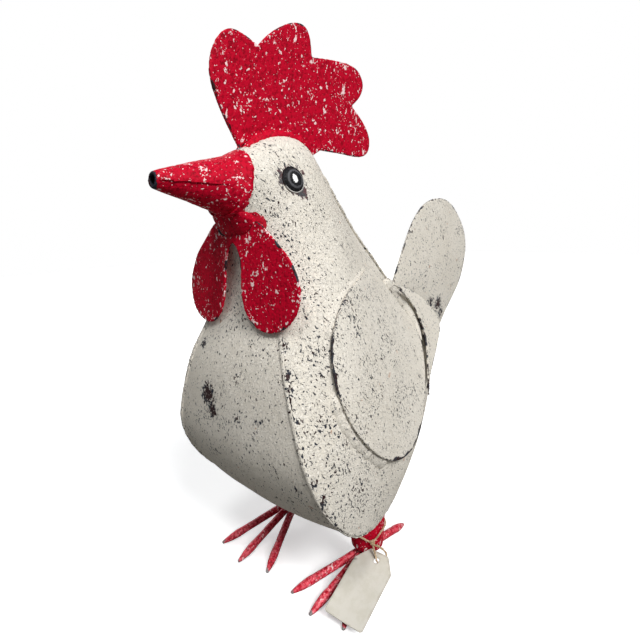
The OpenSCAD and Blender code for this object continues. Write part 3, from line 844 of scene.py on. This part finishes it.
def beak(paint):
    """The rolled cone, its sheet lapped over itself along a seam on the left side."""
    tip_x, tip_z, tip_r, droop = 119 * MM, 284 * MM, 4 * MM, math.radians(2.2)
    mesh = remeshed("beak", 0.5 * MM)
    low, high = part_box("beak")
    at, normals = array_of(mesh), array_of(mesh, "normal")
    axis_z = tip_z - (tip_x - at[:, 0]) * math.tan(droop)
    bearing = np.degrees(np.arctan2(at[:, 2] - axis_z, at[:, 1]))
    past_seam = (bearing + 4) % 360
    back = (high.x - at[:, 0]) / (high.x - low.x)
    seamed = ramp(-0.02, 0.1, back) * ramp(0.78, 0.5, back)
    lapped = np.where(past_seam < 180, 1 - past_seam / 180, 0)
    at += normals * (lapped * MM * seamed)[:, None]
    face_x = low.x + (302 * MM - at[:, 2]) * 0.29
    flare = ramp(9 * MM, 0, at[:, 0] - face_x)
    at += normals * (1.2 * MM * flare)[:, None]
    set_places(mesh, at)
    roughen(mesh, (14, 0.5, 41), (4, 0.25, 42), (2, 0.16, 43))
    axis = np.stack([at[:, 0], 0 * at[:, 0], axis_z], axis=1)
    inside = ((at - axis) * normals).sum(1) < 0
    rim = distance_to(at, [Vector((high.x, tip_r * math.cos(a / 9), tip_z + tip_r * math.sin(a / 9)))
                           for a in range(57)]) / MM
    rim = np.where(inside, 0, rim - 0.5)
    seam_edge = np.minimum(past_seam, 360 - past_seam) * 0.35 + 9 * (1 - seamed)
    rubbed = np.where((past_seam < 60) & (back < 0.85), 2.6, 9)
    plain_fields(mesh, edge=np.minimum(np.minimum(seam_edge, rubbed), rim + 1), rim=rim)
    painted("beak", mesh, paint)


def toe(node, axis, paint, seed):
    mesh = remeshed(node, 0.5 * MM)
    roughen(mesh, (9, 0.35, seed), (3, 0.2, seed + 1))
    out = lengths(array_of(mesh)[:, :2] - np.array(axis)[:2])
    # The left foot's toes get more pale flecks than the right's: painted light on the lit foot.
    plain_fields(mesh, tip=(out.max() - out) / MM, edge=3.0 if axis.y > 0 else 5.0)
    painted(node, mesh, paint)


def eye_frame(node, sign):
    """The eye's middle and its outward axis, from its CAD solid."""
    at = array_of(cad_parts[node].data)
    centre = (at.min(0) + at.max(0)) / 2
    axis = np.linalg.svd(at - at.mean(0), full_matrices=False)[2][2]
    if axis[1] * sign < 0:
        axis = -axis
    return Vector(centre), Vector(axis)


def eye(node, sign, paint):
    """Turned rim and dome, square to the cheek."""
    centre, axis = eye_frame(node, sign)
    base = centre - axis * 1.85 * MM
    forward = (Vector((1, 0, 0)) - axis * axis.x).normalized()
    upward = axis.cross(forward) * (1 if axis.cross(forward).z > 0 else -1)
    profile = [(8.2, 0.1), (8.1, 0.7), (7.95, 1.1), (7.7, 1.3), (7.45, 1.25), (7.25, 1.05), (7.1, 1.1),
               (6.95, 1.4), (6.5, 2.0), (5.8, 2.55), (4.9, 2.95), (3.9, 3.25), (2.9, 3.45), (1.9, 3.6),
               (0.9, 3.7)]
    turns = [2 * math.pi * k / 64 for k in range(64)]
    rings = [[list(base + MM * (r * math.cos(a) * forward + r * math.sin(a) * upward + h * axis))
              for a in turns] for r, h in profile]
    mesh = modified(tube(node, np.array(rings)), ("SUBSURF", {"levels": 1}))
    flat = (array_of(mesh) - np.array(base)) / MM
    a, b = flat @ np.array(forward), flat @ np.array(upward)
    dab_a, dab_b, dab_wide, dab_tall, lean = a - 0.8, b + 0.1, 1.6, 2.7, math.radians(-8)
    c = math.cos(lean) * dab_a + math.sin(lean) * dab_b
    d = -math.sin(lean) * dab_a + math.cos(lean) * dab_b
    set_field(mesh, "radius", np.hypot(a, b))
    set_field(mesh, "dab", 1 - np.hypot(c / dab_wide, d / dab_tall))
    set_field(mesh, "low", -b - 0.4 * a)
    mesh.shade_smooth()
    painted(node, mesh, paint)


def tag(paint):
    """The card, with softened edges and a faint bow."""
    bm = welded("swing_tag")
    bmesh.ops.transform(bm, matrix=TAG_FRAME.inverted(), verts=bm.verts)
    for way, low, high in ((Vector((1, 0, 0)), -6, 45), (Vector((0, 1, 0)), -14, 14)):
        for cut in np.arange(low + 2, high, 2.0):
            bmesh.ops.bisect_plane(bm, geom=bm.verts[:] + bm.edges[:] + bm.faces[:],
                                   plane_co=way * (cut * MM), plane_no=way)
    rims = sharp_points(bm)
    mesh = as_mesh(bm, "swing_tag")
    mesh = modified(mesh, ("BEVEL", {"width": 0.14 * MM, "segments": 2, "limit_method": "ANGLE",
                                     "angle_limit": SHARP}))
    at = array_of(mesh)
    rim = distance_to(at, rims) / MM
    at[:, 2] += 0.5 * MM * ((at[:, 1] / (14 * MM)) ** 2 - 0.3) * ramp(0, 20 * MM, at[:, 0])
    at[:, 2] += 0.12 * MM * lumps(at * [1, 1, 0], 16 * MM, 51)
    set_places(mesh, at)
    mesh.transform(TAG_FRAME)
    mesh.shade_smooth()
    mesh.set_sharp_from_angle(angle=SHARP)
    set_field(mesh, "rim", rim)
    add_piece("swing_tag_card", mesh, TAG, paint, "swing_tag")


# ---------------------------------------------------------------- welds

def bead(name, path, normals, wide, high, paint, seed, closed=False, sunk=0.0, fade=12, **fields):
    """A ground-down weld: a low, uneven rib along a path, sunk by this share of its height.

    fade is how many points the rib takes to taper off at each open end.
    """
    n = len(path)
    path = path - unit(normals) * np.broadcast_to(sunk * high, n)[:, None]
    swell = 1 + 0.22 * lumps(path, 3.5 * MM, seed) + 0.12 * lumps(path, 1.4 * MM, seed + 1)
    if not closed:
        ends = np.minimum(np.arange(n), np.arange(n)[::-1]) / fade
        swell = swell * (0.25 + 0.75 * np.clip(ends, 0, 1))
    mesh = sweep(name, path, normals, wide * swell, high * swell, 16, closed)
    plain_fields(mesh, **{"edge": 9.0, **fields})
    add_piece(name, mesh, BODY, paint)


def tack(name, centre, paint):
    """A small uneven lump of weld."""
    half_sizes = np.array([7, 3.6, 5]) * MM
    bm = bmesh.new()
    bmesh.ops.create_icosphere(bm, subdivisions=4, radius=1)
    mesh = as_mesh(bm, name)
    at = array_of(mesh)
    at *= (1 + 0.22 * lumps(at, 0.9, 125))[:, None]
    set_places(mesh, at * half_sizes + centre)
    mesh.shade_smooth()
    plain_fields(mesh, edge=9.0)
    add_piece(name, mesh, BODY, paint)


def between(near, far, axis):
    """The middle line between two edges, its normals, which look up this axis, and half the gap."""
    near, far = softened(near, 3, False), softened(far, 3, False)
    middle = (near + far) / 2
    up = np.cross(np.gradient(middle, axis=0), far - near)
    up *= np.sign(up[:, axis])[:, None]
    return middle, up, lengths(far - near) / 2


def ridge_line():
    """Points along the top of the left skin, from the brow to the rear, and the normals there."""
    skin = surface_of("body_left_side")
    hits = [skin.ray_cast(Vector((x, 0.4 * MM, 0.6)), -UP) for x in np.arange(63, -181, -1.0) * MM]
    places = [(h[0].x, 0, h[0].z) for h in hits if h[0]]
    normals = [(h[1].x, 0, max(h[1].z, 0.2)) for h in hits if h[0]]
    return np.array(places), np.array(normals)


def beak_weld(collar, paint):
    """A rib round the beak's root, lower under the chin."""
    out = unit(collar * [0, 1, 1] - [0, 0, 283 * MM])
    path = collar - 1.1 * MM * out + [0.6 * MM, 0, 0]
    high = (1.7 - 0.9 * ramp(290 * MM, 266 * MM, collar[:-1, 2])) * MM
    bead("beak_weld", path[:-1], out[:-1] + [0.25, 0, 0], 2.5 * MM, high, paint, 105, closed=True)


def throat_weld(collar, skins, paint):
    """A broad weld from the wattles' top edge to the low side of the beak's root."""
    roots = np.array([list(p) for p in sharp_points(welded("wattles"))
                      if (skins.find_nearest(p)[3] or 1) < 1.6 * MM])
    across = np.linspace(-17.5, 17.5, 36) * MM
    found = [(y, roots[np.abs(roots[:, 1] - y) < 0.8 * MM]) for y in across]
    edge = np.array([[n[:, 0].mean() + 0.6 * MM, y, n[:, 2].max()] for y, n in found if len(n)])
    low_collar = collar[collar[:, 2] < 276 * MM]
    rim = np.array([low_collar[np.abs(low_collar[:, 1] - y).argmin()] for y in edge[:, 1]])
    path, up, half = between(edge, rim, 0)
    bead("throat_weld", path, up, half + 2.0 * MM, 1.9 * MM, paint, 109, sunk=0.4, fade=3)


def seam_welds(seam, paint):
    """A thin, chipped rib inside each breast seam, from 14 mm below the chin."""
    path = resampled(seam, 0.8 * MM)[18:]
    run = np.gradient(path, axis=0)
    out = np.stack([-run[:, 2], 0 * run[:, 1], run[:, 0]], axis=1)
    for side, sign in SIDES:
        inner = (path - [0, 1.5 * MM, 0]) * [1, sign, 1]
        bead(f"seam_weld_{side}", inner, out, 1.5 * MM, 0.7 * MM, paint, 107 + sign, edge=1.0, scuff=0.12)


def wing_rib(loop, middle):
    """The rib under the wing's edge: path, normals and half sizes; it draws back where the edge is painted
    dark, bare and shaded.
    """
    skin = surface_of("body_left_side", "tail_covert_left_outer", "tail_covert_left_inner")
    under = [skin.find_nearest(Vector(p)) for p in loop]
    foot, up = (softened(np.array([h[k] for h in under])) for k in (0, 1))
    stand_off = softened(np.array([[h[3]] for h in under]))[:, 0]
    bare = bare_and_shade_share("wing_left", loop)
    path = foot + unit(middle - loop) * (1.6 * MM * bare)[:, None]
    wide = (2.4 * MM + 1.5 * stand_off) * (1 - 0.45 * bare)
    high = (1.5 * stand_off + 0.5 * MM) * (1 - 0.35 * bare)
    return path, up, wide, high


def covert_fill(edge):
    """The weld between the wing's back edge and the outer covert: path, normals and half the gap."""
    tree = tree_of(sharp_points(welded("tail_covert_left_outer")))
    pairs = [(p, tree.find(Vector(p))) for p in edge]
    pairs = [(p, np.array(q[0])) for p, q in pairs if q[2] < 16 * MM]
    pairs.sort(key=lambda pair: pair[0][2])
    near, far = (np.array([pair[k] for pair in pairs]) for k in (0, 1))
    return between(near, far, 1)


def wing_welds(paint):
    """On each side the rib under the wing, a tack over the coverts, and the fill behind the wing."""
    loop, middle = outline("wing_left", (0.2, 1, 0.3))
    share = shares("wing_left", loop)
    behind = (share[:, 0] < 0.45) & (share[:, 2] > 0.12)
    first = int(np.flatnonzero(~behind & np.roll(behind, 1))[0])
    kept = np.roll(np.arange(len(loop)), -first)[:int((~behind).sum())]
    rib, rib_up, wide, high = (values[kept] for values in wing_rib(loop, middle))
    fill, fill_up, half = covert_fill(loop[behind & (share[:, 2] > 0.45)])
    tack_at = np.array([-71, 14.5, 208.5]) * MM
    for side, sign in SIDES:
        turned = np.array([1, sign, 1])
        bead(f"wing_weld_{side}", rib * turned, rib_up * turned, wide, high, paint, 111 + sign, sunk=0.5)
        tack(f"covert_tack_{side}", tack_at * turned, paint)
        bead(f"covert_weld_{side}", fill * turned, fill_up * turned, half + 1.2 * MM, 1.7 * MM, paint,
             121 + sign, sunk=0.3)


def leg_welds(skins, paint):
    """A rib round each leg where it meets the belly."""
    start_z = 0.02
    for side, sign in SIDES:
        around = [Vector((LEG_TOP_R * math.cos(t), sign * LEG_AXIS.y + LEG_TOP_R * math.sin(t), start_z))
                  for t in np.linspace(0, 2 * math.pi, 60, endpoint=False)]
        hits = [(p, skins.ray_cast(p, UP)[0]) for p in around]
        path = np.array([hit if hit else p + Vector((0, 0, LEG_TOP_Z - start_z)) for p, hit in hits])
        out = np.array([p - LEG_AXIS * sign for p in around])
        out[:, 2] = 0
        bead(f"leg_weld_{side}", path, out, 2.2 * MM, 1.1 * MM, paint, 115 + sign, closed=True, edge=4.0)


# ---------------------------------------------------------------- stage

def stage(material):
    mesh = bpy.data.meshes.new("floor")
    half = 3.0
    corners = [(-half, -half, 0), (half, -half, 0), (half, half, 0), (-half, half, 0)]
    mesh.from_pydata(corners, [], [(0, 1, 2, 3)])
    mesh.materials.append(material)
    floor = new_object("floor", mesh)


def soft_light(name, kind, place, power, size):
    """A light at this place that looks at the middle of the bird."""
    data = bpy.data.lights.new(name, kind)
    data.energy = power
    if kind == "SUN":
        data.angle = size
    else:
        data.shape = "DISK"
        data.size = size
    light = new_object(name, data)
    light.location = place
    light.rotation_mode = "QUATERNION"
    light.rotation_quaternion = (Vector((0, 0, 0.18)) - Vector(place)).to_track_quat("-Z", "Y")


def lights():
    """White behind the bird, and for the bird a dim sky, a broad key, a weak back light and a fill."""
    world = bpy.data.worlds.new("studio")
    world.use_nodes = True
    tree = world.node_tree
    dim = tree.nodes["Background"]
    dim.inputs["Color"].default_value = (0.92, 0.96, 1, 1)
    dim.inputs["Strength"].default_value = 0.20
    seen = tree.nodes.new("ShaderNodeBackground")
    seen.inputs["Color"].default_value = (1, 1, 1, 1)
    mixer = tree.nodes.new("ShaderNodeMixShader")
    path = tree.nodes.new("ShaderNodeLightPath")
    tree.links.new(path.outputs["Is Camera Ray"], mixer.inputs[0])
    tree.links.new(dim.outputs[0], mixer.inputs[1])
    tree.links.new(seen.outputs[0], mixer.inputs[2])
    tree.links.new(mixer.outputs[0], tree.nodes["World Output"].inputs["Surface"])
    bpy.context.scene.world = world
    soft_light("key", "SUN", (0.2, 1.0, 1.12), 3.15, math.radians(24))
    soft_light("back", "SUN", (-0.55, -1.0, 0.75), 1.1, math.radians(50))
    soft_light("fill", "AREA", (0.55, 0.26, 1.15), 4.0, 0.22)
    bpy.context.scene.view_settings.view_transform = "Standard"


# ---------------------------------------------------------------- the model

make_camera()
twine(twine_paint())

cream, red, lapped, toes, enamel = cream_paint(), red_paint(), head_paint(), toe_paint(), eye_paint()
seam = edge_walk("body_left_side", CHIN, (-0.6, 0.4, -0.8))
ring = edge_walk("body_left_side", CHIN, (0, 0.5, 0.6))
for side, sign in SIDES:
    body_side(side, sign, seam, ring, lapped)
breast(lapped)
tail(cream)
for side, sign in SIDES:
    wing(f"wing_{side}", sign, cream)
    eye(f"eye_{side}", sign, enamel)
    for part in ("outer", "inner"):
        painted_plate(f"tail_covert_{side}_{part}", 0.7 * MM, cream, 61 + sign, reach=0.15)
    painted_plate(f"leg_{side}", 0.55 * MM, red, 71 + sign, coarse=0.3, reach=0.4)
    for i, part in enumerate(("inner", "middle", "outer", "back")):
        toe(f"toe_{side}_{part}", LEG_AXIS * sign, toes, 81 + 5 * i + sign)
painted_plate("comb", 0.65 * MM, red, 91)
painted_plate("wattles", 0.55 * MM, red, 95)
beak(red)
tag(card_paint())

ridge, ridge_up = ridge_line()
on_head, on_back, at_tail = ridge[:, 0] > 0, ridge[:, 0] < 1 * MM, ridge[:, 0] < -97 * MM
collar = resampled(ring[::-1] + [Vector((p.x, -p.y, p.z)) for p in ring[1:]], 1.0 * MM)
skins = surface_of("breast_panel", "body_left_side", "body_right_side")
bead("comb_weld", ridge[on_head], ridge_up[on_head], 5.4 * MM, 5.0 * MM, red, 101, sunk=0.42)
bead("back_weld", ridge[on_back], ridge_up[on_back], 3.4 * MM, 1.3 * MM, cream, 103, sunk=0.6)
beak_weld(collar, red)
throat_weld(collar, skins, red)
bead("tail_weld", ridge[at_tail], ridge_up[at_tail], 4.6 * MM, 3.4 * MM, cream, 117, sunk=0.5, fade=3)
seam_welds(seam, cream)
wing_welds(cream)
leg_welds(skins, red)

stage(floor_paint())
lights()
